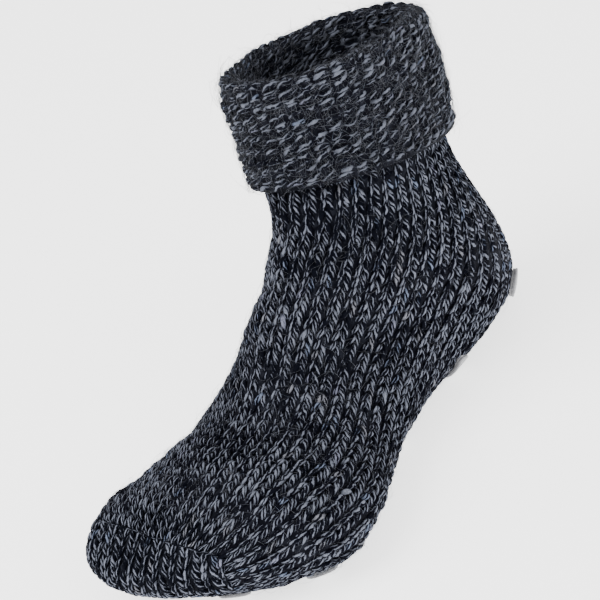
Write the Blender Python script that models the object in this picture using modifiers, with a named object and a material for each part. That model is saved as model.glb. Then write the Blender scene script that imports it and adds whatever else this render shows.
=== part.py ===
# Slipper sock: a chunky knitted sock with a turned-down cuff and soft grips under the sole.
# Metres, +X to the toe, +Y to the wearer's left, +Z up, the floor at z = 0. It is a left sock.
# The sections below are laid out from the back of the heel, and the finished parts are then
# moved so that the origin lies on the floor under the middle of the whole.

import math

import bmesh
import bpy
import numpy as np

# The foot
FOOT_LENGTH = 0.260
BALL_WIDTH = 0.113
HEEL_WIDTH = 0.073
INSTEP_HEIGHT = 0.082

# The leg, and how far it leans back and to the inner side of the foot
LEG_HEIGHT = 0.157
LEG_DEPTH = 0.092
LEG_WIDTH = 0.073
LEG_LEAN = math.radians(12)
LEG_SIDE_LEAN = math.radians(6)

# The knit, and the top of the leg that is turned down outside as a cuff
KNIT_WALL = 0.0042
CUFF_FRONT_DROP = 0.054
CUFF_BACK_DROP = 0.045
CUFF_FOLD_RADIUS = 0.0008
CUFF_FLARE = 0.0020

# The silicone grips under the sole
GRIP_DIAMETER = 0.014
GRIP_THICKNESS = 0.0012
GRIP_SIDE_PITCH = 0.026
GRIP_CLEARANCE = 0.0003

# How finely the forms are cut into faces
POINTS_AROUND = 36
GRIP_SIDES = 14

# The height of the knit's own sole over the floor that the grips stand on
SOLE_LIFT = GRIP_THICKNESS + GRIP_CLEARANCE

# The ankle, about which the leg leans
ANKLE_X = 0.264 * FOOT_LENGTH
ANKLE_Z = 0.91 * INSTEP_HEIGHT

# Leg sections, from the fold down. Each is a closed loop in a plane that is square to the
# sock's side view and runs from a front point to a back point.
#   front, back     distance from the leg's axis, shares of LEG_DEPTH
#   front_z, back_z height over the sole, shares of LEG_HEIGHT
#   width           share of LEG_WIDTH
#   widest          where the loop is widest, a share of the way from back to front
#   low, high       how square the loop is on its back or lower side and on its front
#   side            sideways shift, a share of BALL_WIDTH
#   lean            the share of the leg's lean that the section takes
LEG_SECTIONS = [
    # front, front_z, back, back_z, width, widest, low, high, side, lean
    (0.530, 0.984, 0.480, 1.015, 1.00, 0.50, 2.1, 2.1, 0.010, 1.0),
    (0.477, 0.833, 0.517, 0.848, 0.97, 0.50, 2.1, 2.1, -0.015, 1.0),
    (0.488, 0.716, 0.520, 0.659, 0.94, 0.48, 2.1, 2.1, -0.013, 1.0),
]

# Foot sections, from the ankle round the heel and on to the toe.
#   front_x, back_x shares of FOOT_LENGTH
#   front_z, back_z shares of INSTEP_HEIGHT
#   heel, ball      shares of HEEL_WIDTH and BALL_WIDTH that make up the width
FOOT_SECTIONS = [
    # front_x, front_z, back_x, back_z, heel, ball, widest, low, high, side, lean
    (0.449, 1.190, 0.048, 0.930, 0.97, 0.00, 0.45, 2.1, 2.1, -0.005, 0.7),
    (0.482, 1.110, 0.012, 0.580, 1.00, 0.00, 0.42, 2.1, 2.1, 0.000, 0.3),
    (0.521, 1.052, 0.000, 0.260, 1.01, 0.00, 0.38, 2.2, 2.1, 0.000, 0.1),
    (0.555, 0.990, 0.046, 0.000, 1.00, 0.00, 0.36, 2.3, 2.1, -0.010, 0.0),
    (0.586, 0.909, 0.191, -0.030, 0.98, 0.00, 0.34, 2.5, 2.1, -0.018, 0.0),
    (0.617, 0.807, 0.338, -0.005, 0.72, 0.20, 0.33, 2.6, 2.1, -0.018, 0.0),
    (0.657, 0.697, 0.485, 0.010, 0.45, 0.45, 0.34, 2.6, 2.2, 0.005, 0.0),
    (0.729, 0.615, 0.633, -0.010, 0.15, 0.81, 0.35, 2.6, 2.2, 0.045, 0.0),
    (0.809, 0.598, 0.761, -0.030, 0.00, 1.00, 0.38, 2.6, 2.3, 0.062, 0.0),
    (0.873, 0.562, 0.857, -0.010, 0.00, 0.935, 0.42, 2.5, 2.3, -0.022, 0.0),
    (0.930, 0.476, 0.930, 0.060, 0.00, 0.715, 0.45, 2.4, 2.3, -0.110, 0.0),
    (0.971, 0.376, 0.971, 0.125, 0.00, 0.49, 0.50, 2.3, 2.3, -0.155, 0.0),
    (0.993, 0.300, 0.993, 0.180, 0.00, 0.245, 0.50, 2.2, 2.2, -0.162, 0.0),
    (1.000, 0.240, 1.000, 0.240, 0.00, 0.00, 0.50, 2.2, 2.2, -0.162, 0.0),
]

# Rows of faces between one section and the next
ROWS_PER_SECTION = [2, 2, 2, 2, 2, 3, 3, 3, 3, 3, 3, 3, 3, 3, 2, 2]

# The turned-down cuff, from the fold down: shares of its drop and of CUFF_FLARE
CUFF_SECTIONS = [
    # drop, flare
    (0.08, 0.35),
    (0.25, 0.75),
    (0.45, 0.95),
    (0.65, 1.00),
    (0.85, 1.00),
    (1.00, 0.80),
]
FOLD_STEPS = 4

# Rows of grips along the sole, each a share of FOOT_LENGTH from the heel, with the number of
# grips in the row and the sideways shift of its middle as a share of BALL_WIDTH
GRIP_ROWS = [
    # along, count, side
    (0.073, 3, 0.00),
    (0.178, 2, 0.00),
    (0.283, 3, 0.00),
    (0.388, 2, 0.00),
    (0.493, 3, 0.00),
    (0.598, 2, 0.02),
    (0.703, 3, 0.05),
    (0.808, 4, 0.05),
    (0.900, 3, -0.09),
]


def section_table():
    """The sections in metres: front x, z, back x, z, half width, widest, low, high, side, lean."""
    rows = []
    for front, front_z, back, back_z, width, widest, low, high, side, lean in LEG_SECTIONS:
        rows.append((ANKLE_X + front * LEG_DEPTH, front_z * LEG_HEIGHT,
                     ANKLE_X - back * LEG_DEPTH, back_z * LEG_HEIGHT,
                     width * LEG_WIDTH / 2, widest, low, high, side * BALL_WIDTH, lean))
    for front_x, front_z, back_x, back_z, heel, ball, widest, low, high, side, lean in FOOT_SECTIONS:
        rows.append((front_x * FOOT_LENGTH, front_z * INSTEP_HEIGHT,
                     back_x * FOOT_LENGTH, back_z * INSTEP_HEIGHT,
                     (heel * HEEL_WIDTH + ball * BALL_WIDTH) / 2,
                     widest, low, high, side * BALL_WIDTH, lean))
    return np.array(rows)


def blend(table, at):
    """A smooth curve through the table's rows, read at row number at, without overshoot."""
    step = np.diff(table, axis=0)
    before, after = step[:-1], step[1:]
    total = before + after
    same_way = before * after > 0
    middle = np.where(same_way, 2 * before * after / np.where(same_way, total, 1), 0)
    slope = np.vstack([step[:1], middle, step[-1:]])
    row = min(int(at), len(table) - 2)
    f = at - row
    return ((1 + 2 * f) * (1 - f) ** 2 * table[row] + f * (1 - f) ** 2 * slope[row]
            + f * f * (3 - 2 * f) * table[row + 1] - f * f * (1 - f) * slope[row + 1])


def power(value, square):
    """A sine or cosine bent towards a square corner."""
    return np.sign(value) * np.abs(value) ** (2 / square)


def loop_points(table, at, angles, outset=0.0):
    """Points at the given angles round the section at row number at, 0 being the front."""
    front_x, front_z, back_x, back_z, half, widest, low, high, side, lean = blend(table, at)
    across = np.hypot(front_x - back_x, front_z - back_z)
    towards = np.array([front_x - back_x, front_z - back_z]) / max(across, 1e-9)
    cosine, sine = np.cos(angles), np.sin(angles)
    square = np.where(cosine >= 0, high, low)
    reach = np.where(cosine >= 0, (1 - widest) * across, widest * across) + outset
    ahead = widest * across + power(cosine, square) * reach
    x = back_x + towards[0] * ahead
    z = back_z + towards[1] * ahead
    y = side + power(sine, square) * (half + outset)
    x, y, z = lean_leg(x, y, z, lean)
    return np.stack([x, y, np.maximum(z, 0.0) + SOLE_LIFT], axis=1)


def lean_leg(x, y, z, share):
    """Turns leg points about the ankle, back and then to the inner side."""
    back = LEG_LEAN * share
    dx, dz = x - ANKLE_X, z - ANKLE_Z
    x = ANKLE_X + dx * math.cos(back) - dz * math.sin(back)
    dz = dx * math.sin(back) + dz * math.cos(back)
    inward = LEG_SIDE_LEAN * share
    side = y * math.cos(inward) - dz * math.sin(inward)
    z = ANKLE_Z + y * math.sin(inward) + dz * math.cos(inward)
    return x, side, z


def sock_rows():
    """Row numbers for the leg and foot, from the fold to just short of the toe's tip."""
    rows = []
    for section, count in enumerate(ROWS_PER_SECTION):
        rows.extend(section + step / count for step in range(count))
    return rows


def row_at_drop(table, drop):
    """The row number that lies the given way down the leg from the fold."""
    rows = np.linspace(0, 4, 81)
    middle = np.array([(blend(table, row)[0:2] + blend(table, row)[2:4]) / 2 for row in rows])
    length = np.concatenate([[0], np.cumsum(np.hypot(*np.diff(middle, axis=0).T))])
    return float(np.interp(drop, length, rows))


def cuff_loop(table, angles, drop, flare):
    """A loop of the cuff's inner face, lower at the front than at the back."""
    outset = 2 * CUFF_FOLD_RADIUS + flare * CUFF_FLARE
    front = loop_points(table, row_at_drop(table, drop * CUFF_FRONT_DROP), angles, outset)
    back = loop_points(table, row_at_drop(table, drop * CUFF_BACK_DROP), angles, outset)
    share = ((1 + np.cos(angles)) / 2)[:, None]
    return front * share + back * (1 - share)


def sheet_loops(table):
    """The knit as one sheet of loops: the cuff's inner face up, over the fold, and the sock."""
    angles = np.linspace(0, 2 * math.pi, POINTS_AROUND, endpoint=False)
    loops = [cuff_loop(table, angles, drop, flare) for drop, flare in reversed(CUFF_SECTIONS)]
    top = loop_points(table, 0, angles)
    below = loop_points(table, 0.2, angles)
    up = (top - below) / np.linalg.norm(top - below, axis=1)[:, None]
    for step in range(FOLD_STEPS + 1):
        turn = math.pi * step / FOLD_STEPS
        outset = CUFF_FOLD_RADIUS * (1 + math.cos(turn))
        rise = CUFF_FOLD_RADIUS * math.sin(turn)
        loops.append(loop_points(table, 0, angles, outset) + up * rise)
    for row in sock_rows()[1:]:
        loops.append(loop_points(table, row, angles))
    return loops


def new_object(name, mesh, material, collection):
    """Puts a finished mesh in the collection under its node's name."""
    thing = bpy.data.objects.new(name, mesh)
    thing.data.materials.append(material)
    collection.objects.link(thing)
    return thing


def mesh_from(build):
    """A mesh from a bmesh, with its faces turned to point out of it."""
    bmesh.ops.recalc_face_normals(build, faces=build.faces)
    mesh = bpy.data.meshes.new("form")
    build.to_mesh(mesh)
    build.free()
    return mesh


def build_sock(table, material, collection):
    """Lofts the sheet through its loops and gives it the knit's wall."""
    build = bmesh.new()
    rings = [[build.verts.new(point) for point in loop] for loop in sheet_loops(table)]
    for ring, following in zip(rings, rings[1:]):
        for i in range(POINTS_AROUND):
            j = (i + 1) % POINTS_AROUND
            build.faces.new((ring[i], ring[j], following[j], following[i]))
    tip = build.verts.new(loop_points(table, len(table) - 1, np.zeros(1))[0])
    for i in range(POINTS_AROUND):
        build.faces.new((rings[-1][i], rings[-1][(i + 1) % POINTS_AROUND], tip))
    sock = new_object("knitted_sock", mesh_from(build), material, collection)
    sock.data.shade_smooth()
    wall = sock.modifiers.new("Knit wall", "SOLIDIFY")
    wall.thickness = KNIT_WALL
    wall.offset = -1
    wall.use_even_offset = True
    wall.use_quality_normals = True
    return sock


def sole_spot(table, row, share):
    """The sole's point at a row number and a share of its half width, left of the middle."""
    low = blend(table, row)[6]
    angle = math.pi - math.asin(math.copysign(abs(share) ** (low / 2), share))
    return loop_points(table, row, np.array([angle]))[0]


def sole_frame(table, row, share):
    """A point of the sole, how it moves with row and share, and the direction out of it."""
    step = 1e-3
    along = (sole_spot(table, row + step, share) - sole_spot(table, row - step, share)) / (2 * step)
    aside = (sole_spot(table, row, share + step) - sole_spot(table, row, share - step)) / (2 * step)
    out = np.cross(aside, along)
    return sole_spot(table, row, share), along, aside, out / np.linalg.norm(out)


def find_on_sole(table, x, y):
    """The row number and width share of the sole's point under a place given from above."""
    row, share = 6 + 9 * x / FOOT_LENGTH, 0.0
    for _ in range(20):
        point, along, aside, _ = sole_frame(table, row, share)
        miss = np.array([x - point[0], y - point[1]])
        step = np.linalg.solve(np.array([along[:2], aside[:2]]).T, miss)
        row = float(np.clip(row + step[0], 5.5, 14.5))
        share = float(np.clip(share + step[1], -0.95, 0.95))
    return row, share


def build_grip(name, table, row, share, material, collection):
    """A round pad that follows the sole, clear of the knit by GRIP_CLEARANCE."""
    centre, along, aside, out = sole_frame(table, row, share)
    first = along / np.linalg.norm(along)
    second = np.cross(out, first)
    plane = np.array([first, second])
    spread = np.array([plane @ along, plane @ aside]).T
    build = bmesh.new()
    rim = GRIP_DIAMETER / 2
    edge = GRIP_THICKNESS / 3
    levels = [(GRIP_CLEARANCE, rim / 2), (GRIP_CLEARANCE, rim), (SOLE_LIFT - edge, rim),
              (SOLE_LIFT, rim - edge), (SOLE_LIFT, rim / 2)]
    rings = []
    for depth, radius in levels:
        ring = []
        for side in range(GRIP_SIDES):
            turn = 2 * math.pi * side / GRIP_SIDES
            shift = np.linalg.solve(spread, radius * np.array([math.cos(turn), math.sin(turn)]))
            point, _, _, normal = sole_frame(table, row + shift[0], share + shift[1])
            ring.append(build.verts.new(point + normal * depth))
        rings.append(ring)
    for ring, following in zip(rings, rings[1:]):
        for i in range(GRIP_SIDES):
            j = (i + 1) % GRIP_SIDES
            build.faces.new((ring[i], ring[j], following[j], following[i]))
    for ring, depth in ((rings[0], GRIP_CLEARANCE), (rings[-1], SOLE_LIFT)):
        middle = build.verts.new(centre + out * depth)
        for i in range(GRIP_SIDES):
            build.faces.new((ring[i], ring[(i + 1) % GRIP_SIDES], middle))
    return new_object(name, mesh_from(build), material, collection)


def grip_places():
    """Places of the grips seen from above, row by row from the heel."""
    places = []
    for along, count, side in GRIP_ROWS:
        for i in range(count):
            y = side * BALL_WIDTH + (i - (count - 1) / 2) * GRIP_SIDE_PITCH
            places.append((along * FOOT_LENGTH, y))
    return places


def plain_material(name, color, roughness):
    """A Principled material of one colour."""
    material = bpy.data.materials.new(name)
    material.use_nodes = True
    shader = material.node_tree.nodes["Principled BSDF"]
    shader.inputs["Base Color"].default_value = (*color, 1.0)
    shader.inputs["Roughness"].default_value = roughness
    shader.inputs["Metallic"].default_value = 0.0
    return material


def centre_parts(collection, leader):
    """Moves every part so that the sock's middle, seen from above, is at the origin."""
    bpy.context.view_layer.update()
    corners = leader.evaluated_get(bpy.context.evaluated_depsgraph_get()).bound_box
    low = [min(corner[axis] for corner in corners) for axis in range(2)]
    high = [max(corner[axis] for corner in corners) for axis in range(2)]
    for thing in collection.objects:
        thing.location = (-(low[0] + high[0]) / 2, -(low[1] + high[1]) / 2, 0.0)


def main():
    for thing in list(bpy.data.objects):
        bpy.data.objects.remove(thing, do_unlink=True)
    collection = bpy.data.collections.new("slipper_sock")
    bpy.context.scene.collection.children.link(collection)
    wool = plain_material("marled_wool", (0.035, 0.038, 0.050), 0.95)
    silicone = plain_material("grey_silicone", (0.33, 0.33, 0.34), 0.45)
    table = section_table()
    sock = build_sock(table, wool, collection)
    for number, (x, y) in enumerate(grip_places(), start=1):
        row, share = find_on_sole(table, x, y)
        build_grip(f"grip_{number:02d}", table, row, share, silicone, collection)
    centre_parts(collection, sock)


if __name__ == "__main__":
    main()
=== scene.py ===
import bpy
import math
import numpy as np
from mathutils import Matrix, Vector
from mathutils.bvhtree import BVHTree


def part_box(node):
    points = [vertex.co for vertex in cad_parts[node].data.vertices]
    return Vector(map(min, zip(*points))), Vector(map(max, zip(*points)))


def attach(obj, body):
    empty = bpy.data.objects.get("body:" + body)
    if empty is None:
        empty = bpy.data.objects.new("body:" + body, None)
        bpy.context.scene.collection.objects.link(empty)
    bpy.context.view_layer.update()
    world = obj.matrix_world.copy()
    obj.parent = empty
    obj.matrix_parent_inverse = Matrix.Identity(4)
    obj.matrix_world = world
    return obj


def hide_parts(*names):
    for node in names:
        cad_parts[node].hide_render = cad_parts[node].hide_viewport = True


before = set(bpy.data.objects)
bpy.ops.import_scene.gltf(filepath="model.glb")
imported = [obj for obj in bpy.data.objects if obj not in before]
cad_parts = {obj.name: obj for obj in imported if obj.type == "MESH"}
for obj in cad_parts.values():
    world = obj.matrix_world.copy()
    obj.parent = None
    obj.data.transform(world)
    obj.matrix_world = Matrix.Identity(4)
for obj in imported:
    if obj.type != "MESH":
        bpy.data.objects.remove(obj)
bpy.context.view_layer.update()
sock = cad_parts["knitted_sock"]
low, high = (np.array(corner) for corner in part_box("knitted_sock"))
size = high - low
millimetre = size[0] / 258.87  # the solid's length ties every small size to it
print("frame loaded")


def makeActive(obj):
    bpy.ops.object.select_all(action="DESELECT")
    obj.select_set(True)
    bpy.context.view_layer.objects.active = obj


def applyModifier(obj, kind, **settings):
    makeActive(obj)
    step = obj.modifiers.new(kind, kind)
    for name, value in settings.items():
        setattr(step, name, value)
    bpy.ops.object.modifier_apply(modifier=step.name)


def spot(x, y, z):
    return low + size * np.array([x, y, z])


def unit(vectors):
    return vectors / (np.linalg.norm(vectors, axis=-1, keepdims=True) + 1e-12)


# Camera, fitted to the photo's outline
view = {
    "azimuth": 46.51, "elevation": 29.09, "roll": -20.42,
    "distance": 0.98841, "target": (-0.01057, -0.0039, 0.080),
    "pixelsPerMillimetre": 2.315, "centre": (304.98, 283.60), "frame": 600,
}
turn, rise, roll = (math.radians(view[k]) for k in ("azimuth", "elevation", "roll"))
back = np.array([math.cos(rise) * math.cos(turn), math.cos(rise) * math.sin(turn), math.sin(rise)])
side = np.array([-math.sin(turn), math.cos(turn), 0.0])
up = np.cross(back, side)
pose = np.eye(4)
pose[:3, 0] = math.cos(roll) * side + math.sin(roll) * up
pose[:3, 1] = -math.sin(roll) * side + math.cos(roll) * up
pose[:3, 2] = back
pose[:3, 3] = np.array(view["target"]) + back * view["distance"]
bpy.ops.object.camera_add()
cam = bpy.context.object
cam.name = "photo_camera"
cam.matrix_world = Matrix(pose.tolist())
cam.data.sensor_width = 36.0
cam.data.lens = view["pixelsPerMillimetre"] * view["distance"] * 1000 / view["frame"] * 36.0
cam.data.shift_x = -(view["centre"][0] / view["frame"] - 0.5)
cam.data.shift_y = view["centre"][1] / view["frame"] - 0.5
bpy.context.scene.camera = cam
print("camera placed")

# The sock's surface, read from the solid by rays
tree = BVHTree.FromPolygons([v.co.copy() for v in sock.data.vertices],
                            [tuple(p.vertices) for p in sock.data.polygons])


def hitsAlong(start, way, most=10):
    found = []
    start, way = Vector(start), Vector(way).normalized()
    for _ in range(most):
        place = tree.ray_cast(start, way)[0]
        if place is None:
            break
        if not found or (place - found[-1]).length > 1e-4:
            found.append(place.copy())
        start = place + way * 2e-5
    return [np.array(p) for p in found]


def hollowMiddle(start, way):
    hits = hitsAlong(start, way)
    if len(hits) < 2:
        return None
    gaps = [np.linalg.norm(b - a) for a, b in zip(hits, hits[1:])]
    k = int(np.argmax(gaps))
    return (hits[k] + hits[k + 1]) / 2


def fillGaps(points, period=None):
    bad = np.isnan(points[:, 0])
    index = np.arange(len(points))
    for axis in range(3):
        points[bad, axis] = np.interp(index[bad], index[~bad], points[~bad, axis], period=period)
    return points


def smoothLine(points, times):
    # the two ends stay where they are
    for _ in range(times):
        points[1:-1] = points[1:-1] * 0.5 + (points[2:] + points[:-2]) * 0.25
    return points


def smoothRing(points, times, axis=0):
    for _ in range(times):
        points = points * 0.5 + (np.roll(points, 1, axis) + np.roll(points, -1, axis)) * 0.25
    return points


def lengthsAlong(points):
    steps = np.linalg.norm(np.diff(points, axis=0), axis=-1)
    return np.concatenate([np.zeros((1,) + steps.shape[1:]), np.cumsum(steps, 0)], 0)


def resampleLine(points, wanted):
    along = lengthsAlong(points)
    return np.stack([np.interp(wanted, along, points[:, k]) for k in range(3)], 1)


def normalsOf(grid, wrap):
    around = np.roll(grid, -1, 1) - np.roll(grid, 1, 1) if wrap else np.gradient(grid, axis=1)
    return unit(np.cross(around, np.gradient(grid, axis=0)))


def lookUp(grid, row, column, wrap=True):
    rows, cols = grid.shape[:2]
    row = np.clip(row, 0, rows - 1.001)
    r0 = row.astype(int)
    fr = (row - r0)[..., None]
    if wrap:
        column = np.mod(column, cols)
        c0 = column.astype(int) % cols
        c1 = (c0 + 1) % cols
    else:
        column = np.clip(column, 0, cols - 1.001)
        c0 = column.astype(int)
        c1 = c0 + 1
    fc = (column - np.floor(column))[..., None]
    near = grid[r0, c0] * (1 - fc) + grid[r0, c1] * fc
    far = grid[r0 + 1, c0] * (1 - fc) + grid[r0 + 1, c1] * fc
    return near * (1 - fr) + far * fr


knit = {
    "wales": 40,  # columns of stitches round the sock
    "course": 5.0,  # height of one stitch, mm
    "legFront": 1.12, "footTop": 0.88,  # the front's columns against an even spread
    "ankleEase": 0.5, "turnEase": 200,  # how far they widen in the ankle's bend, and how softly
    "yarnThick": 1.0, "yarnShare": 0.185,  # half a strand: mm out of the surface, share of a wale
    "depth": 0.80,  # how far a strand's middle lies under the solid's surface, mm
    "tuck": 1.05,  # how much deeper its ends go, mm
    "heelShare": 0.25,  # part of the front's courses that belong to the leg
    "wavy": 0.35, "wavyReach": 14,  # soft swells of the fabric: height in mm, and smoothings
    "seed": 7,
}
rng = np.random.default_rng(knit["seed"])
columns = knit["wales"] * 2

fan = {
    "pivot": (0.635, 0.53, 0.731),  # well in front of the ankle, over the foot
    "legTilt": 10.0, "legUp": 0.014, "footEnd": 0.975, "angles": 144,
    "line": 0.42,  # the straight line of the front and sole columns, a share of the width
    "legPlanes": 10, "bendPlanes": 84, "footPlanes": 84,
    "turnFrom": 4, "legMean": 8, "footMean": 30,  # planes
    "legAxis": (-0.208, -0.085, 0.974),
}
legAxis = unit(np.array(fan["legAxis"]))


def fanPlanes():
    pivot = spot(*fan["pivot"])
    tilt = math.radians(fan["legTilt"])
    planes = []
    for lift in np.linspace(fan["legUp"], 0, fan["legPlanes"] + 1)[:-1]:
        planes.append((pivot + legAxis * lift, np.array([-math.cos(tilt), 0, -math.sin(tilt)])))
    for angle in np.linspace(tilt, math.pi / 2, fan["bendPlanes"] + 1)[:-1]:
        planes.append((pivot, np.array([-math.cos(angle), 0, -math.sin(angle)])))
    for along in np.linspace(0, low[0] + size[0] * fan["footEnd"] - pivot[0], fan["footPlanes"]):
        planes.append((pivot + np.array([along, 0, 0]), np.array([0, 0, -1.0])))
    return planes


def outlineIn(origin, down):
    across = np.array([0, 1.0, 0])
    middle = hollowMiddle(origin, down)
    if middle is None:
        return None
    sides = hitsAlong(middle, across), hitsAlong(middle, -across)
    middle = (sides[0][0] + sides[1][0]) / 2
    middle[1] = low[1] + size[1] * fan["line"]
    points = []
    for angle in np.linspace(0, 2 * math.pi, fan["angles"], endpoint=False):
        hits = hitsAlong(middle, -down * math.cos(angle) + across * math.sin(angle), 3)
        points.append(hits[1] if len(hits) > 1 else np.full(3, np.nan))
    return smoothRing(fillGaps(np.array(points), fan["angles"]), 2)


def spreadColumns(outlines):
    # the front's columns keep their width round the ankle's bend, and the heel takes the rest
    half = fan["angles"] // 2
    sides = [(ring[:half + 1], np.vstack([ring[half:], ring[:1]])[::-1]) for ring in outlines]
    reach = np.array([[lengthsAlong(part)[-1] for part in pair] for pair in sides])
    foot = fan["legPlanes"] + fan["bendPlanes"]
    turning = (np.arange(len(outlines)) - fan["turnFrom"]) / (foot - fan["turnFrom"])
    turning = np.clip(turning, 0, 1)[:, None]
    turning = turning * turning * (3 - 2 * turning)
    front = (reach[:fan["legMean"]].mean(0) / 2 * knit["legFront"] * (1 - turning)
             + reach[foot:foot + fan["footMean"]].mean(0) / 2 * knit["footTop"] * turning)
    front = front + knit["ankleEase"] * np.maximum(reach / 2 - front, 0)
    front = np.minimum(front, reach / 2 * knit["legFront"])
    front = smoothLine(front, knit["turnEase"])
    g = np.arange(knit["wales"] + 1) / knit["wales"]
    rings = []
    for pair, lengths, ahead in zip(sides, reach, front):
        parts = [resampleLine(part, length * g + (quarter - length / 2) * np.sin(math.pi * g))
                 for part, length, quarter in zip(pair, lengths, ahead)]
        rings.append(np.vstack([parts[0][:-1], parts[1][:0:-1]]))
    return np.array(rings)


outlines = [outlineIn(*plane) for plane in fanPlanes()]
surface = smoothLine(spreadColumns([ring for ring in outlines if ring is not None]), 2)
# smoothing draws the heel and the toe in, so the points go back to the solid
surface = np.array([[tree.find_nearest(Vector(point))[0] for point in ring] for ring in surface])
surfaceNormal = normalsOf(surface, True)
if ((surface - surface.mean(1, keepdims=True)) * surfaceNormal).sum() < 0:
    surfaceNormal = -surfaceNormal


def softWaves(shape, reach, height):
    # a smooth, random swell over a grid that closes on itself sideways
    field = rng.normal(size=shape)
    for _ in range(reach):
        field = smoothRing(smoothLine(field, 1), 1, axis=1)
    return (field / field.std() * height * millimetre)[..., None]


surface = surface + surfaceNormal * softWaves(surface.shape[:2], knit["wavyReach"], knit["wavy"])
print("surface read in", len(surface), "rings")

# The toe's linking seam seen from above, as shares of the sock's box
seam = {
    "along": (0.90, 0.92, 0.93, 0.935, 0.94, 0.94, 0.935, 0.925, 0.905, 0.87, 0.83),  # from -y to +y
    "toeWale": 6.7, "toeCourse": 4.6, "inset": 0.3,  # mm
    "leastReach": 1.6,  # the cap ends where less of the toe than this lies past the seam, mm
    "looks": 200, "angles": 49, "rows": 61,  # how finely the toe is read
    "colourRow": 60,
}


def seamX(y):
    across = np.linspace(0, 1, len(seam["along"]))
    return low[0] + size[0] * np.interp((y - low[1]) / size[1], across, seam["along"])


strand = {"rings": 7, "sides": 6}


def buildStrands(name, centre, normal, wide, thick, tone, tint, phase, sinkShadeFactor,
                 sides=strand["sides"]):
    # every strand is one closed, tapered tube; they are joined in one mesh
    count, ringCount = centre.shape[:2]
    tangent = unit(np.gradient(centre, axis=1))
    across = unit(np.cross(normal, tangent))
    lift = np.cross(tangent, across)
    angle = np.arange(sides) / sides * 2 * math.pi
    # rings of points, and one point at each tip
    body = (centre[:, :, None]
            + across[:, :, None] * (np.cos(angle)[:, None] * wide[:, :, None, None])
            + lift[:, :, None] * (np.sin(angle)[:, None] * thick[:, :, None, None]))
    body = body.reshape(count, ringCount * sides, 3)
    tips = np.stack([centre[:, 0] - tangent[:, 0] * wide[:, :1] * 0.5,
                     centre[:, -1] + tangent[:, -1] * wide[:, -1:] * 0.5], 1)
    points = np.concatenate([body, tips], 1)
    per = ringCount * sides + 2
    corners, ringOf, turnOf, totals = [], [], [], []
    for r in range(ringCount - 1):
        for s in range(sides):
            n = (s + 1) % sides
            corners += [r * sides + s, r * sides + n, (r + 1) * sides + n, (r + 1) * sides + s]
            ringOf += [r, r, r + 1, r + 1]
            turnOf += [s, s + 1, s + 1, s]
            totals.append(4)
    last = (ringCount - 1) * sides
    for s in range(sides):
        n = (s + 1) % sides
        corners += [per - 2, n, s, per - 1, last + s, last + n]
        ringOf += [0, 0, 0, ringCount - 1, ringCount - 1, ringCount - 1]
        turnOf += [s + 0.5, s + 1, s, s + 0.5, s, s + 1]
        totals += [3, 3]
    along = np.concatenate([np.zeros((count, 1)),
                            np.cumsum(np.linalg.norm(np.diff(centre, axis=1), axis=2), 1)], 1)
    along = along / (knit["course"] * millimetre) + phase[:, None]
    loops = (np.array(corners)[None] + np.arange(count)[:, None] * per).ravel()
    u = along[:, ringOf].ravel()
    v = np.tile(np.array(turnOf) / sides, count)
    loopTotal = np.tile(totals, count)
    loopStart = np.concatenate([[0], np.cumsum(loopTotal)[:-1]])
    mesh = bpy.data.meshes.new(name)
    mesh.vertices.add(count * per)
    mesh.vertices.foreach_set("co", points.astype(np.float32).ravel())
    mesh.loops.add(len(loops))
    mesh.loops.foreach_set("vertex_index", loops.astype(np.int32))
    mesh.polygons.add(len(loopTotal))
    mesh.polygons.foreach_set("loop_start", loopStart.astype(np.int32))
    layer = mesh.uv_layers.new(name="strand")
    layer.data.foreach_set("uv", np.stack([u, v], 1).astype(np.float32).ravel())
    for label, values in (("tone", tone), ("tint", tint)):
        attribute = mesh.attributes.new(label, "FLOAT", "POINT")
        attribute.data.foreach_set("value", np.repeat(values, per).astype(np.float32))
    # painted shade: each point's factor, lower where the strand sinks, dims its pale plies
    attribute = mesh.attributes.new("sinkShadeFactor", "FLOAT", "POINT")
    values = np.concatenate([np.repeat(sinkShadeFactor, sides, 1), sinkShadeFactor[:, :1], sinkShadeFactor[:, -1:]], 1)
    attribute.data.foreach_set("value", values.astype(np.float32).ravel())
    mesh.polygons.foreach_set("use_smooth", np.ones(len(loopTotal), bool))
    mesh.update(calc_edges=True)
    mesh.validate()
    obj = bpy.data.objects.new(name, mesh)
    bpy.context.collection.objects.link(obj)
    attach(obj, "root")
    triangles = sum(t - 2 for t in totals) * count
    print(name, count, "strands,", triangles, "triangles")
    return obj


def driftingNoise(count, reach):
    noise = rng.normal(size=count + 2 * reach)
    kernel = np.hanning(reach * 2 + 3)
    return np.convolve(noise, kernel / np.sqrt((kernel ** 2).sum()), "same")[reach:reach + count]


# How light each stitch is: drifting along the yarn, and in patches
tones = {"rows": 80, "slow": 0.55, "quick": 0.30, "patchReach": (5, 9), "patch": 0.2, "phase": 0.22}
yarnTone = (driftingNoise(tones["rows"] * knit["wales"], 3) * tones["slow"]
            + driftingNoise(tones["rows"] * knit["wales"], 1) * tones["quick"])
patchTone = np.zeros((tones["rows"], knit["wales"]))
for reach in tones["patchReach"]:
    blur = rng.normal(size=patchTone.shape)
    for _ in range(reach):
        blur = (blur + np.roll(blur, 1, 0) + np.roll(blur, -1, 0)
                + np.roll(blur, 1, 1) + np.roll(blur, -1, 1)) / 5
    patchTone += blur / blur.std()
patchPhase = patchTone[::-1, ::-1] * tones["phase"]


def toneAt(course, wale):
    course, wale = course % tones["rows"], wale % knit["wales"]
    return yarnTone[course * knit["wales"] + wale] + patchTone[course, wale] * tones["patch"]


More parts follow.
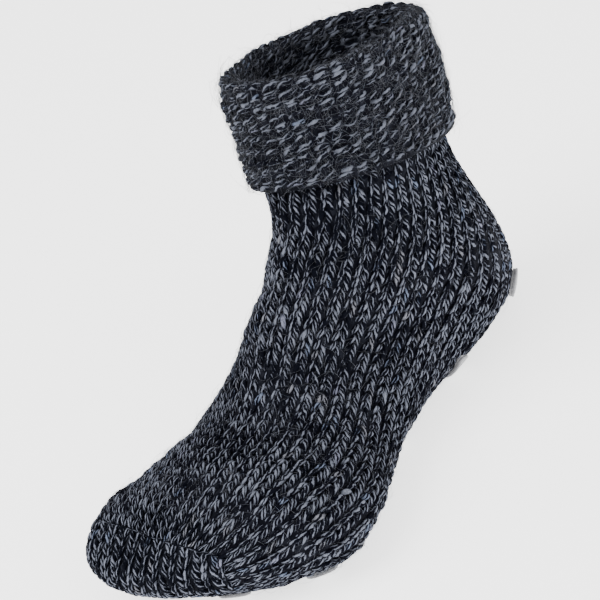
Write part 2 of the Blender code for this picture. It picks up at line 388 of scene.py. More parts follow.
# One leg of a stitch, from its foot to its shoulder
leg = {
    "across": (0.04, 0.06, 0.11, 0.185, 0.26, 0.325, 0.365),  # wales from the middle of the stitch
    "along": (-0.30, 0.00, 0.25, 0.50, 0.78, 1.08, 1.38),  # courses
    "sink": (1.8, 0.8, 0.2, 0.0, 0.05, 0.65, 1.8),
    "girth": (0.55, 0.85, 1.0, 1.05, 1.0, 0.85, 0.55),
    "leastWide": 0.8, "mostWide": 1.75,  # half a strand's width, mm
    # how uneven the hand is: place, drift of the place, depth, girth, tone and twist
    "uneven": 0.045, "wander": 0.05, "depthSpread": 0.1, "girthSpread": 0.06,
    "toneSpread": 0.12, "twistSpread": 0.06,
    "sinkShadeFade": 1.1,  # the sink at which painted shade hides the pale plies in full
}


def waleOfLegs(grid, gridNormal, table, wale, wrap, colourRow, gather):
    # table holds, for the wale's left edge, middle and right edge, the ring where each course lies
    count = table.shape[1] - 1
    index = np.arange(count)
    girth, sinks = (np.array(leg[k])[None] for k in ("girth", "sink"))
    wander = driftingNoise(count, 3) * leg["wander"]
    for sign in (-1, 1):
        jog = rng.normal(scale=leg["uneven"], size=(2, count, 1))
        jog[0, :, 0] += wander
        acrossAt = 1 + 2 * sign * (np.array(leg["across"])[None] + jog[0] * 0.5)
        alongAt = np.clip(index[:, None] + np.array(leg["along"])[None] + jog[1], 0, count + 0.1)
        c0 = np.clip(acrossAt.astype(int), 0, 1)
        fc = acrossAt - c0
        r0 = np.clip(alongAt.astype(int), 0, count - 1)
        fr = alongAt - r0
        row = ((table[c0, r0] * (1 - fr) + table[c0, r0 + 1] * fr) * (1 - fc)
               + (table[c0 + 1, r0] * (1 - fr) + table[c0 + 1, r0 + 1] * fr) * fc)
        place = lookUp(grid, row, 2 * wale + acrossAt, wrap)
        face = unit(lookUp(gridNormal, row, 2 * wale + acrossAt, wrap))
        sink = knit["depth"] + sinks * knit["tuck"]
        sink = sink + rng.normal(scale=leg["depthSpread"], size=(count, 1))
        middle = row[:, 3:4]
        edges = [lookUp(grid, middle, np.full((count, 1), 2.0 * wale + k), wrap) for k in (0, 1.99)]
        wide = np.linalg.norm(edges[1] - edges[0], axis=2) * knit["yarnShare"]
        wide = np.clip(wide, leg["leastWide"] * millimetre, leg["mostWide"] * millimetre)
        fat = girth * (1 + rng.normal(scale=leg["girthSpread"], size=(count, 1)))
        gather["centre"].append(place - face * (sink * millimetre)[..., None])
        gather["normal"].append(face)
        gather["wide"].append(fat * wide)
        gather["thick"].append(fat * knit["yarnThick"] * millimetre)
        tone = toneAt(colourRow + index, wale)
        gather["tone"].append(tone + rng.normal(scale=leg["toneSpread"], size=count))
        phase = patchPhase[(colourRow + index) % tones["rows"], wale % knit["wales"]] + 0.5 * (sign > 0)
        gather["phase"].append(phase + rng.normal(scale=leg["twistSpread"], size=count))
        gather["tint"].append(rng.random(count))
        # painted shade: the deeper a point of the leg sinks, the more its pale plies are darkened
        gather["sinkShadeFactor"].append(np.tile(1 - np.clip(sinks[0] / leg["sinkShadeFade"], 0, 1), (count, 1)))
    return count


def emptyGather():
    return {k: [] for k in ("centre", "normal", "wide", "thick", "tone", "tint", "phase", "sinkShadeFactor")}


def buildFrom(name, gather, keep=None):
    parts = {k: np.concatenate(v) for k, v in gather.items()}
    if keep is not None:
        parts = {k: v[keep] for k, v in parts.items()}
    return buildStrands(name, **parts)


# The toe cap: its columns run from the sole over the tip and back up to the seam
def toeGrid():
    inside = []
    for y in np.linspace(low[1], high[1], seam["looks"]):
        down = hitsAlong((seamX(y), y, high[2]), (0, 0, -1.0))
        if down:
            tip = hitsAlong((down[0] + down[-1]) / 2, (1.0, 0, 0), 2)
            if tip and tip[-1][0] - seamX(y) > seam["leastReach"] * millimetre:
                inside.append(y)
    first, last = inside[0] + seam["inset"] * millimetre, inside[-1]
    wales = int(round((last - first) / (seam["toeWale"] * millimetre)))
    lines = []
    for y in np.linspace(first, last, 2 * wales + 1):
        x = seamX(y)
        down = hitsAlong((x, y, high[2]), (0, 0, -1.0))
        middle = (down[0] + down[-1]) / 2
        points = []
        for angle in np.linspace(-math.pi / 2, math.pi / 2, seam["angles"]):
            hits = hitsAlong(middle, (math.cos(angle), 0, math.sin(angle)), 2)
            points.append(hits[-1] if hits else np.full(3, np.nan))
        points = smoothLine(fillGaps(np.array(points)), 1)
        whole = lengthsAlong(points)[-1]
        lines.append(resampleLine(points, np.linspace(0, whole, seam["rows"])))
    return np.stack(lines, 1), wales


toe, toeWales = toeGrid()
toeNormal = normalsOf(toe, False)
if ((toe - toe.mean((0, 1), keepdims=True)) * toeNormal).sum() < 0:
    toeNormal = -toeNormal


def tubeStitches():
    along = lengthsAlong(surface)
    ends = np.empty(columns)
    for c in range(columns):
        past = surface[:, c, 0] - seamX(surface[:, c, 1])
        past[:fan["legPlanes"] + fan["bendPlanes"]] = -1
        past[(surface[:, c, 1] < toe[..., 1].min()) | (surface[:, c, 1] > toe[..., 1].max())] = -1
        k = int(np.argmax(past > 0)) if (past > 0).any() else len(past) - 1
        share = past[k - 1] / (past[k - 1] - past[k]) if past[k] > 0 else 1.0
        ends[c] = along[k - 1, c] + share * (along[k, c] - along[k - 1, c])
    common = int(round(ends.min() / (knit["course"] * millimetre)))
    height = ends.min() / common
    legCourses = int(round(common * knit["heelShare"]))
    footCourses = common - legCourses
    print("courses on the leg", legCourses, "and the foot", footCourses)
    gathered = emptyGather()
    parts = []
    for wale in range(knit["wales"]):
        cols = [(2 * wale + k) % columns for k in range(3)]
        gaps = [ends[c] - common * height for c in cols]
        extra = int(round(np.mean(gaps) / height))
        table = []
        for c, gap in zip(cols, gaps):
            rows = np.concatenate([np.arange(legCourses + 1) * height,
                                   legCourses * height + np.arange(1, extra + 1) * gap / max(extra, 1),
                                   ends[c] - np.arange(footCourses - 1, -1, -1) * height])
            table.append(np.interp(rows, along[:, c], np.arange(len(along))))
        count = waleOfLegs(surface, surfaceNormal, np.array(table), wale, True, 0, gathered)
        index = np.arange(count)
        below = knit["wales"] / 4 < wale < knit["wales"] * 3 / 4
        part = np.where(index < legCourses + extra / 2, 0, 2 if below else 1)
        parts += [part, part]
    part = np.concatenate(parts)
    return [buildFrom(name, gathered, part == k)
            for k, name in enumerate(("leg_stitches", "instep_stitches", "sole_stitches"))]


stitchPieces = tubeStitches()


def toeStitches():
    along = lengthsAlong(toe)
    gathered = emptyGather()
    for wale in range(toeWales):
        cols = [2 * wale, 2 * wale + 1, 2 * wale + 2]
        whole = along[-1, cols[1]]
        count = max(int(round(whole / (seam["toeCourse"] * millimetre))), 2)
        rows = np.linspace(0, 1, count + 1)
        table = [np.interp(rows * along[-1, c], along[:, c], np.arange(len(along))) for c in cols]
        colourRow = seam["colourRow"] - count
        waleOfLegs(toe, toeNormal, np.array(table), wale, False, colourRow, gathered)
    return buildFrom("toe_stitches", gathered)


stitchPieces.append(toeStitches())


# The row of small loops that closes the toe
link = {
    "pitch": 3.6, "overlap": 0.15,  # mm, and the share of it that two loops have in common
    "behind": 1.3, "lean": 0.5,  # rows of the toe's grid
    "thick": 0.75, "sink": 0.75, "endSink": 0.9,  # mm
    "blunt": 0.08,  # how far from a point the ends stop
    # painted shade: at most this share of a link loop's pale plies shows, and less towards its sunk
    # ends
    "tone": -1.0, "toneSpread": 0.3, "sinkShadeFactor": 0.7,
}


def toeLink():
    along = lengthsAlong(toe[-1])
    count = int(along[-1] / (link["pitch"] * millimetre))
    gathered = emptyGather()
    steps = np.linspace(0, 1, strand["rings"])
    shape = np.sin(np.clip(steps, link["blunt"], 1 - link["blunt"]) * math.pi) ** 0.5
    girth = (shape * link["thick"] * millimetre)[None]
    row = toe.shape[0] - link["behind"] + link["lean"] * np.cos(steps * math.pi)
    sink = link["sink"] + link["endSink"] * np.abs(steps * 2 - 1) ** 2
    for k in range(count):
        span = np.array([k - link["overlap"], k + 1 + link["overlap"]]) / count * along[-1]
        ends = np.interp(span, along, np.arange(toe.shape[1]))
        column = ends[0] + (ends[1] - ends[0]) * steps
        place = lookUp(toe, row, column, False)
        face = unit(lookUp(toeNormal, row, column, False))
        gathered["centre"].append((place - face * (sink * millimetre)[:, None])[None])
        gathered["normal"].append(face[None])
        gathered["wide"].append(girth)
        gathered["thick"].append(girth)
        gathered["tone"].append(rng.normal(link["tone"], link["toneSpread"], 1))
        gathered["tint"].append(rng.random(1))
        gathered["phase"].append(rng.random(1))
        gathered["sinkShadeFactor"].append(shape[None] * link["sinkShadeFactor"])
    return buildFrom("toe_link", gathered)


stitchPieces.append(toeLink())

# The turned-down cuff and the inside of the leg show the back of the knit
cuff = {
    "centre": (0.245, 0.458, 0.583),  # in the hollow of the leg
    "below": -0.012, "above": 0.085, "step": 0.001,  # the levels read, m
    "hidden": 4.0,  # how far the loops reach round the lower edge, mm
    "rowShare": 0.5, "bow": 0.20, "tilt": 0.30,  # in courses
    "span": 0.54, "shift": 0.16,  # half a loop, and the shift of every second row, in wales
    "sink": 0.45, "behind": 0.25, "endSink": 1.5, "endCurve": 2.4,  # mm under the surface
    "missing": 0.06, "missingSink": 1.6,  # loops that the brushing has pulled in
    "yarnWide": 1.22, "yarnThick": 1.1,
    "blunt": 0.88, "taper": 0.7, "sinkShadeFade": 1.4,  # how the loops thin to their ends, and how far painted shade darkens them where they sink
    "wavy": 1.3, "wavyReach": 10,  # against the sock's swells
    # how uneven the loops are: place, length, tilt, row, depth, girth and tone
    "uneven": 0.07, "longSpread": 0.12, "tiltSpread": 0.14, "rowSpread": 0.40, "depthSpread": 0.35,
    "girthSpread": 0.17, "toneSpread": 0.55,
    "colourRow": 70,
}


def cuffGrid():
    forward = unit(np.array([1.0, 0, 0]) - legAxis * legAxis[0])
    left = np.cross(legAxis, forward)
    base = spot(*cuff["centre"])
    levels = np.arange(cuff["below"], cuff["above"], cuff["step"])
    profiles = []
    for angle in np.linspace(0, 2 * math.pi, columns, endpoint=False):
        way = forward * math.cos(angle) + left * math.sin(angle)
        rows = [hitsAlong(base + legAxis * level, way) for level in levels]
        top = max(k for k, hits in enumerate(rows) if len(hits) > 1)
        edge = min(k for k, hits in enumerate(rows) if len(hits) > 3)
        path = [rows[edge + k][-2] for k in (4, 3, 2, 1)]
        path += [rows[k][-1] for k in range(edge, top + 1) if len(rows[k]) > 1]
        start = lengthsAlong(np.array(path[:5]))[-1]
        path += [rows[k][0] for k in range(top, -1, -1) if len(rows[k]) > 1]
        profiles.append((smoothLine(np.array(path), 2), start))
    shortest = min(lengthsAlong(path)[-1] - start for path, start in profiles)
    wanted = np.arange(-cuff["hidden"] * millimetre, shortest, millimetre)  # a row each millimetre
    grid = np.stack([resampleLine(path, wanted + start) for path, start in profiles], 1)
    return smoothRing(grid, 2, axis=1)


cuffSurface = cuffGrid()
cuffNormal = normalsOf(cuffSurface, True)
cuffWaves = softWaves(cuffSurface.shape[:2], cuff["wavyReach"], knit["wavy"] * cuff["wavy"])
cuffSurface = cuffSurface + cuffNormal * cuffWaves
outward = (cuffSurface[20] - cuffSurface[20].mean(0)) * cuffNormal[20]
if outward.sum() < 0:
    cuffNormal = -cuffNormal
print("cuff read in", len(cuffSurface), "rows")


def cuffLoops():
    gathered = emptyGather()
    rowHeight = knit["course"] * cuff["rowShare"]
    rows = int((len(cuffSurface) - 6) / rowHeight)
    steps = np.linspace(-cuff["span"], cuff["span"], strand["rings"])
    shape = np.cos(steps / cuff["span"] * math.pi / 2 * cuff["blunt"]) ** cuff["taper"]
    ends = np.abs(steps / cuff["span"]) ** cuff["endCurve"]
    for m in range(rows):
        way = 1 if m % 2 == 0 else -1
        centreAt = np.arange(knit["wales"]) + (0.0 if way > 0 else cuff["shift"])
        count = len(centreAt)
        jog = rng.normal(scale=cuff["uneven"], size=(count, 1))
        long = 1 + rng.normal(scale=cuff["longSpread"], size=(count, 1))
        column = 2 * (centreAt[:, None] + steps[None] * long + jog)
        bow = way * cuff["bow"] * knit["course"] * (np.cos(steps * math.pi) - 0.4)
        tilt = rng.normal(cuff["tilt"], cuff["tiltSpread"], size=(count, 1)) * knit["course"]
        row = cuff["hidden"] + m * rowHeight + bow[None] + tilt * steps[None]
        row = row + rng.normal(scale=cuff["rowSpread"], size=(count, 1))
        place = lookUp(cuffSurface, row, column)
        face = unit(lookUp(cuffNormal, row, column))
        sink = cuff["sink"] + cuff["endSink"] * ends[None] + (0.0 if way > 0 else cuff["behind"])
        sink = sink + np.abs(rng.normal(scale=cuff["depthSpread"], size=(count, 1)))
        sink = sink + cuff["missingSink"] * (rng.random((count, 1)) < cuff["missing"])
        fat = shape[None] * (1 + rng.normal(scale=cuff["girthSpread"], size=(count, 1)))
        gathered["centre"].append(place - face * (sink * millimetre)[..., None])
        gathered["normal"].append(face)
        gathered["wide"].append(fat * cuff["yarnWide"] * millimetre)
        gathered["thick"].append(fat * cuff["yarnThick"] * millimetre)
        tone = toneAt(np.full(count, cuff["colourRow"] - m // 2), centreAt.astype(int))
        gathered["tone"].append(tone + rng.normal(scale=cuff["toneSpread"], size=count))
        gathered["tint"].append(rng.random(count))
        gathered["phase"].append(rng.random(count))
        # painted shade: the pale plies fade towards each loop's sunk ends
        gathered["sinkShadeFactor"].append(np.tile(1 - np.clip(ends * cuff["sinkShadeFade"], 0, 1), (count, 1)))
    return buildFrom("cuff_loops", gathered)


cuffPiece = cuffLoops()
stitchPieces.append(cuffPiece)

# The ground between the stitches: the solid's own shape, drawn in
ground = {"drawnIn": 1.3, "hollow": 12.0}  # mm in, and the least width of the hollow


def buildGround():
    makeActive(sock)
    bpy.ops.object.duplicate()
    obj = bpy.context.object
    obj.name = "knit_ground"
    obj.parent = None
    for key in list(obj.keys()):
        del obj[key]
    obj.data = obj.data.copy()
    makeActive(obj)
    bpy.ops.object.mode_set(mode="EDIT")
    bpy.ops.mesh.select_all(action="SELECT")
    bpy.ops.mesh.remove_doubles(threshold=1e-6)
    bpy.ops.object.mode_set(mode="OBJECT")
    applyModifier(obj, "DISPLACE", strength=-ground["drawnIn"] * millimetre, mid_level=0.0)
    bpy.ops.object.shade_smooth()
    for face in obj.data.polygons:
        # a face that looks across the hollow at another wall lies inside
        reach = tree.ray_cast(face.center + face.normal * 0.003, face.normal)[3]
        face.material_index = int(reach is not None and reach > ground["hollow"] * millimetre)
    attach(obj, "root")
    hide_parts("knitted_sock")
    return obj


groundPiece = buildGround()
print("ground built")

# The silicone soaks into the knit behind each grip
soak = {"deep": 1.15, "width": 0.97}  # mm, and its width against the grip's


def buildSoak():
    grips = [node for name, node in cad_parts.items() if name.startswith("grip")]
    makeActive(grips[0])
    for node in grips:
        node.select_set(True)
    bpy.ops.object.duplicate()
    for copy in bpy.context.selected_objects:
        copy.parent = None
        for key in list(copy.keys()):
            del copy[key]
        copy.data = copy.data.copy()
        middle = sum((v.co for v in copy.data.vertices), Vector()) / len(copy.data.vertices)
        inward = (tree.find_nearest(middle)[0] - middle).normalized() * soak["deep"] * millimetre
        copy.data.transform(Matrix.Translation(middle + inward) @ Matrix.Scale(soak["width"], 4)
                            @ Matrix.Translation(-middle))
    bpy.ops.object.join()
    obj = bpy.context.object
    obj.name = "grip_soak"
    bpy.ops.object.mode_set(mode="EDIT")
    bpy.ops.mesh.select_all(action="SELECT")
    bpy.ops.mesh.remove_doubles(threshold=1e-6)
    bpy.ops.object.mode_set(mode="OBJECT")
    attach(obj, "root")
    return obj


soakPiece = buildSoak()
print("grips seated")

# Loose fibres, thickest on the brushed cuff
fuzz = {
    "cuff": 6500, "rest": 3000,
    "long": 5.0, "shortest": 1.5, "longest": 12, "thick": 0.058,  # mm
    "curl": 0.5, "leastLift": 0.1, "mostLift": 0.5, "root": 0.04,  # shares of the length
    "rings": 5, "sides": 3,
    "cuffRows": (2, 72), "margin": 20,  # rows of the cuff, and rings left bare at the sock's ends
}


def buildFibres(name, grid, gridNormal, count, rowsFrom, rowsTo):
    rings = fuzz["rings"]
    row = rng.uniform(rowsFrom, rowsTo, count)
    column = rng.uniform(0, grid.shape[1], count)
    spots = lookUp(grid, row, column)
    normals = unit(lookUp(gridNormal, row, column))
    lengths = rng.gamma(3.0, fuzz["long"] / 3, count).clip(fuzz["shortest"], fuzz["longest"])
    lay = rng.normal(size=(count, 3))
    lay = unit(lay - normals * (lay * normals).sum(1, keepdims=True))
    curl = np.cross(normals, lay) * rng.normal(scale=fuzz["curl"], size=(count, 1))
    lift = rng.uniform(fuzz["leastLift"], fuzz["mostLift"], (count, 1))
    t = np.linspace(0, 1, rings)
    height = lift[:, None] * np.sin(t * math.pi * 0.9)[:, None] * 0.5 - fuzz["root"]
    path = (spots[:, None] + lengths[:, None, None] * millimetre
            * (lay[:, None] * t[:, None] + curl[:, None] * (t ** 2)[:, None]
               + normals[:, None] * height))
    path[..., 2] = np.maximum(path[..., 2], 0.0004)  # above the floor
    thick = np.full((count, rings), fuzz["thick"] * millimetre) * np.linspace(1, 0.4, rings)
    return buildStrands(name, path, np.repeat(normals[:, None], rings, 1), thick, thick,
                        rng.normal(size=count), rng.random(count), rng.random(count),
                        np.ones((count, rings)), fuzz["sides"])


fibrePieces = [
    buildFibres("cuff_fibres", cuffSurface, cuffNormal, fuzz["cuff"], *fuzz["cuffRows"]),
    buildFibres("stray_fibres", surface, surfaceNormal, fuzz["rest"],
                fuzz["margin"], len(surface) - fuzz["margin"]),
]
print("fibres laid")

# Materials, from a few helpers that wire nodes
def newGroup(name, inputs, outputs):
    group = bpy.data.node_groups.new(name, "ShaderNodeTree")
    for label, kind, default in inputs:
        socket = group.interface.new_socket(label, in_out="INPUT", socket_type=kind)
        if default is not None:
            socket.default_value = default
    for label, kind in outputs:
        group.interface.new_socket(label, in_out="OUTPUT", socket_type=kind)
    return group, group.nodes.new("NodeGroupInput"), group.nodes.new("NodeGroupOutput")


def calc(tree, operation, first, second=None, third=None):
    node = tree.nodes.new("ShaderNodeMath")
    node.operation = operation
    for socket, value in zip(node.inputs, (first, second, third)):
        if value is None:
            continue
        if isinstance(value, (int, float)):
            socket.default_value = value
        else:
            tree.links.new(value, socket)
    return node.outputs[0]


def blendColours(tree, share, first, second, kind="MIX"):
    node = tree.nodes.new("ShaderNodeMix")
    node.data_type = "RGBA"
    node.blend_type = kind
    for socket, value in ((node.inputs[0], share), (node.inputs[6], first), (node.inputs[7], second)):
        if isinstance(value, (int, float)):
            socket.default_value = value
        elif isinstance(value, tuple):
            socket.default_value = value + (1.0,)
        else:
            tree.links.new(value, socket)
    return node.outputs[2]


def noiseAt(tree, vector, scale, detail=2.0):
    node = tree.nodes.new("ShaderNodeTexNoise")
    node.inputs["Scale"].default_value = scale
    node.inputs["Detail"].default_value = detail
    tree.links.new(vector, node.inputs["Vector"])
    return node.outputs[0]


def ramp(tree, value, start, end):
    node = tree.nodes.new("ShaderNodeMapRange")
    node.interpolation_type = "SMOOTHSTEP"
    node.inputs["From Min"].default_value = start
    node.inputs["From Max"].default_value = end
    tree.links.new(value, node.inputs["Value"])
    return node.outputs[0]


marledYarn = {
    "plies": 4.0, "twist": 0.33,
    "dark": (0.0006, 0.0009, 0.0032), "light": (0.150, 0.163, 0.205),
    "wander": 1.1,  # how far the plies stray from their helix
    "wanderScale": 380.0, "patchScale": 140.0, "hairScale": 1500.0,
    "stretch": (0.62, 0.55, 40.0),  # of the breaks: along the yarn, round it, strand to strand
    "patches": 1.0, "breaks": 2.5, "hairs": 0.8, "tone": 0.16,  # what shows or hides a pale ply
    "from": 0.50, "to": 0.92,  # where a pale ply begins to show, and shows in full
    "sideShadeFrom": -0.10, "sideShadeTo": 0.80,  # painted shade: only the upper side of a strand is pale, its sides and underside are darkened
    "streaks": 1.3, "leastStreak": 0.35,
}


def marlGroup():
    # Strand holds courses along the yarn and turns round it
    group, given, made = newGroup("marl", [
        ("Strand", "NodeSocketVector", None), ("Tone", "NodeSocketFloat", 0.0),
        ("Tint", "NodeSocketFloat", 0.5), ("Sink Shade Factor", "NodeSocketFloat", 1.0),
        ("Plies", "NodeSocketFloat", 4.0), ("Twist", "NodeSocketFloat", 0.2),
        ("Softness", "NodeSocketFloat", 0.2),
        ("Dark", "NodeSocketColor", (0, 0, 0, 1)), ("Light", "NodeSocketColor", (0.2, 0.2, 0.2, 1)),
    ], [("Color", "NodeSocketColor"), ("Height", "NodeSocketFloat")])
    split = group.nodes.new("ShaderNodeSeparateXYZ")
    group.links.new(given.outputs["Strand"], split.inputs[0])
    u, v = split.outputs[0], split.outputs[1]
    coord = group.nodes.new("ShaderNodeTexCoord").outputs["Object"]
    wander = calc(group, "SUBTRACT", noiseAt(group, coord, marledYarn["wanderScale"]), 0.5)
    turned = calc(group, "MULTIPLY_ADD", u, given.outputs["Twist"], v)
    phase = calc(group, "MULTIPLY", turned, given.outputs["Plies"])
    phase = calc(group, "MULTIPLY_ADD", wander, marledYarn["wander"], phase)
    wave = calc(group, "SINE", calc(group, "MULTIPLY", phase, 2 * math.pi))
    wave = calc(group, "MULTIPLY_ADD", wave, 0.5, 0.5)
    patches = calc(group, "SUBTRACT", noiseAt(group, coord, marledYarn["patchScale"], 2.0), 0.5)
    strokes = group.nodes.new("ShaderNodeCombineXYZ")  # each ply shows and hides along its own length
    sources = u, phase, given.outputs["Tint"]
    for socket, source, factor in zip(strokes.inputs, sources, marledYarn["stretch"]):
        group.links.new(calc(group, "MULTIPLY", source, factor), socket)
    breaks = calc(group, "SUBTRACT", noiseAt(group, strokes.outputs[0], 2.0, 1.0), 0.5)
    hairs = calc(group, "SUBTRACT", noiseAt(group, coord, marledYarn["hairScale"], 3.0), 0.5)
    shown = wave
    for source, share in ((patches, "patches"), (breaks, "breaks"), (hairs, "hairs"),
                          (given.outputs["Tone"], "tone")):
        shown = calc(group, "MULTIPLY_ADD", source, marledYarn[share], shown)
    amount = calc(group, "MULTIPLY_ADD", given.outputs["Tone"], 0.10, 0.88)
    # painted shade: the pale plies fade towards each strand's sides and underside, and where it sinks
    sideShade = calc(group, "SINE", calc(group, "MULTIPLY", v, 2 * math.pi))
    sideShade = ramp(group, sideShade, marledYarn["sideShadeFrom"], marledYarn["sideShadeTo"])
    amount = calc(group, "MULTIPLY", amount, calc(group, "MULTIPLY", sideShade, given.outputs["Sink Shade Factor"]))
    sharp = ramp(group, shown, marledYarn["from"], marledYarn["to"])
    mask = calc(group, "MULTIPLY", sharp, amount)
    mask = calc(group, "MAXIMUM", mask, calc(group, "MULTIPLY", amount, given.outputs["Softness"]))
    streakVector = group.nodes.new("ShaderNodeCombineXYZ")
    group.links.new(calc(group, "MULTIPLY", u, 1.6), streakVector.inputs[0])
    group.links.new(calc(group, "MULTIPLY", phase, 2.2), streakVector.inputs[1])
    group.links.new(given.outputs["Tint"], streakVector.inputs[2])
    streak = noiseAt(group, streakVector.outputs[0], 2.6, 3.0)
    uneven = calc(group, "MULTIPLY_ADD", streak, marledYarn["streaks"], marledYarn["leastStreak"])
    mask = calc(group, "MULTIPLY", mask, uneven)
    clamp = group.nodes.new("ShaderNodeClamp")
    group.links.new(mask, clamp.inputs[0])
    tints = group.nodes.new("ShaderNodeValToRGB")  # a few strands are bluer or warmer
    tints.color_ramp.interpolation = "CONSTANT"
    stops = tints.color_ramp.elements
    stops[0].position, stops[0].color = 0.0, (1, 1, 1, 1)
    stops[1].position, stops[1].color = 0.935, (0.90, 1.0, 1.14, 1)
    for position, colour in ((0.970, (1.12, 1.06, 0.98, 1)), (0.985, (1.12, 1.08, 1.16, 1))):
        stop = stops.new(position)
        stop.color = colour
    group.links.new(given.outputs["Tint"], tints.inputs[0])
    lit = blendColours(group, 1.0, given.outputs["Light"], tints.outputs[0], "MULTIPLY")
    colour = blendColours(group, clamp.outputs[0], given.outputs["Dark"], lit)
    height = calc(group, "MULTIPLY_ADD", streak, 0.45, wave)
    group.links.new(colour, made.inputs["Color"])
    group.links.new(height, made.inputs["Height"])
    return group


marl = marlGroup()


def newMaterial(name):
    material = bpy.data.materials.new(name)
    material.use_nodes = True
    nodes = material.node_tree.nodes
    return material, material.node_tree, nodes["Principled BSDF"]


def attributeOf(tree, name):
    node = tree.nodes.new("ShaderNodeAttribute")
    node.attribute_name = name
    return node.outputs["Fac"]


def yarnMaterial(name, softness, bump, light, plies, twist, sheen):
    material, tree, shader = newMaterial(name)
    uv = tree.nodes.new("ShaderNodeUVMap")
    uv.uv_map = "strand"
    use = tree.nodes.new("ShaderNodeGroup")
    use.node_tree = marl
    tree.links.new(uv.outputs[0], use.inputs["Strand"])
    tree.links.new(attributeOf(tree, "tone"), use.inputs["Tone"])
    tree.links.new(attributeOf(tree, "tint"), use.inputs["Tint"])
    tree.links.new(attributeOf(tree, "sinkShadeFactor"), use.inputs["Sink Shade Factor"])
    use.inputs["Plies"].default_value = plies
    use.inputs["Twist"].default_value = twist
    use.inputs["Softness"].default_value = softness
    use.inputs["Dark"].default_value = marledYarn["dark"] + (1.0,)
    use.inputs["Light"].default_value = light + (1.0,)
    tree.links.new(use.outputs["Color"], shader.inputs["Base Color"])
    relief = tree.nodes.new("ShaderNodeBump")
    relief.inputs["Strength"].default_value = bump
    relief.inputs["Distance"].default_value = 0.0004
    tree.links.new(use.outputs["Height"], relief.inputs["Height"])
    tree.links.new(relief.outputs[0], shader.inputs["Normal"])
    shader.inputs["Roughness"].default_value = 0.92
    shader.inputs["Specular IOR Level"].default_value = 0.04
    shader.inputs["Sheen Weight"].default_value = sheen
    shader.inputs["Sheen Roughness"].default_value = 0.5
    return material


knitFinish = yarnMaterial("marled_knit", softness=0.012, bump=0.8, light=marledYarn["light"],
                          plies=marledYarn["plies"], twist=marledYarn["twist"], sheen=0.003)
cuffFinish = yarnMaterial("brushed_purl", softness=0.03, bump=0.7,
                          light=tuple(0.83 * c for c in marledYarn["light"]),
                          plies=3.0, twist=0.16, sheen=0.01)
fibreFinish = yarnMaterial("stray_fibre", softness=0.8, bump=0.1, light=(0.14, 0.147, 0.17),
                           plies=1.0, twist=0.0, sheen=0.003)


def groundMaterial(name, stretch, darkest, lightest, depth):
    material, tree, shader = newMaterial(name)
    coord = tree.nodes.new("ShaderNodeTexCoord").outputs["Object"]
    shaped = tree.nodes.new("ShaderNodeMapping")
    shaped.inputs["Scale"].default_value = stretch
    tree.links.new(coord, shaped.inputs["Vector"])
    strokes = noiseAt(tree, shaped.outputs[0], 260.0, 3.0)
    colour = blendColours(tree, ramp(tree, strokes, 0.44, 0.68), darkest, lightest)
    tree.links.new(colour, shader.inputs["Base Color"])
    relief = tree.nodes.new("ShaderNodeBump")
    relief.inputs["Strength"].default_value = 0.9
    relief.inputs["Distance"].default_value = depth
    tree.links.new(strokes, relief.inputs["Height"])
    tree.links.new(relief.outputs[0], shader.inputs["Normal"])
    shader.inputs["Roughness"].default_value = 0.95
    shader.inputs["Specular IOR Level"].default_value = 0.1
    return material


# the ground's near-black is the dark ply's colour together with painted shade in the gaps between the
# stitches
groundGapShadeFinish = groundMaterial("knit_back_gap_shade", stretch=(1, 1, 1), darkest=(0.0006, 0.0009, 0.003),
                              lightest=(0.008, 0.009, 0.014), depth=0.0012)
insideFinish = groundMaterial("knit_inside", stretch=(0.6, 0.6, 1.9), darkest=(0.003, 0.004, 0.008),
                              lightest=(0.13, 0.14, 0.175), depth=0.0025)


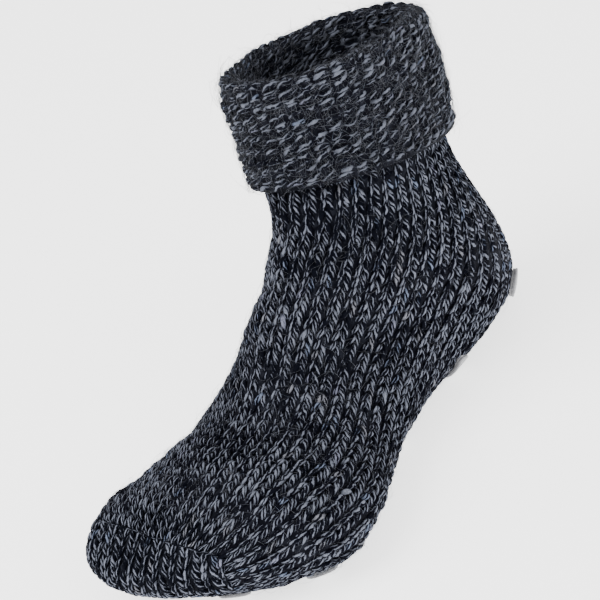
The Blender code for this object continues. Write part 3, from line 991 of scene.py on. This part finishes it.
def siliconeMaterial():
    material, tree, shader = newMaterial("pale_silicone")
    coord = tree.nodes.new("ShaderNodeTexCoord").outputs["Object"]
    mottle = noiseAt(tree, coord, 240.0, 3.0)
    colour = blendColours(tree, mottle, (0.14, 0.14, 0.15), (0.24, 0.24, 0.25))
    tree.links.new(colour, shader.inputs["Base Color"])
    relief = tree.nodes.new("ShaderNodeBump")
    relief.inputs["Strength"].default_value = 0.25
    relief.inputs["Distance"].default_value = 0.0003
    tree.links.new(noiseAt(tree, coord, 900.0, 2.0), relief.inputs["Height"])
    tree.links.new(relief.outputs[0], shader.inputs["Normal"])
    shader.inputs["Roughness"].default_value = 0.42
    shader.inputs["Subsurface Weight"].default_value = 0.25
    shader.inputs["Subsurface Radius"].default_value = (1.0, 1.0, 1.0)
    shader.inputs["Subsurface Scale"].default_value = 0.002
    return material


siliconeFinish = siliconeMaterial()


def dress(obj, material):
    if obj.data.materials:
        obj.data.materials[0] = material
    else:
        obj.data.materials.append(material)


for piece in stitchPieces:
    dress(piece, knitFinish)
dress(cuffPiece, cuffFinish)
for piece in fibrePieces:
    dress(piece, fibreFinish)
dress(soakPiece, siliconeFinish)
dress(groundPiece, groundGapShadeFinish)
groundPiece.data.materials.append(insideFinish)
for name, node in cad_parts.items():
    if name.startswith("grip"):
        node.material_slots[0].material = siliconeFinish
print("materials made")

# Studio
studio = {
    "world": 1.05, "floor": (0.96, 0.96, 0.96), "glow": 2.0,
    "key": 32.0, "keyPlace": (0.9, -0.5, 1.4), "fill": 11.0, "fillPlace": (0.2, 1.3, 0.9),
    "span": 1.2, "aim": (0, 0, 0.05),
}


def addLight(name, place, energy):
    aim = Vector(studio["aim"]) - Vector(place)
    angles = aim.to_track_quat("-Z", "Y").to_euler()
    bpy.ops.object.light_add(type="AREA", location=place, rotation=angles)
    lamp = bpy.context.object
    lamp.name = name
    lamp.data.energy = energy
    lamp.data.size = studio["span"]


def buildStudio():
    bpy.ops.mesh.primitive_plane_add(size=8)
    floor = bpy.context.object
    floor.name = "studio_floor"
    material, tree, shader = newMaterial("floor_paper")
    shader.inputs["Base Color"].default_value = studio["floor"] + (1.0,)
    shader.inputs["Roughness"].default_value = 0.95
    shader.inputs["Emission Color"].default_value = (1, 1, 1, 1)
    shader.inputs["Emission Strength"].default_value = studio["glow"]
    dress(floor, material)
    addLight("key_light", studio["keyPlace"], studio["key"])
    addLight("fill_light", studio["fillPlace"], studio["fill"])
    world = bpy.context.scene.world or bpy.data.worlds.new("studio")
    bpy.context.scene.world = world
    world.use_nodes = True
    sky = world.node_tree.nodes.get("Background") or world.node_tree.nodes.new("ShaderNodeBackground")
    sky.inputs[0].default_value = (1, 1, 1, 1)
    sky.inputs[1].default_value = studio["world"]


buildStudio()
print("studio built")
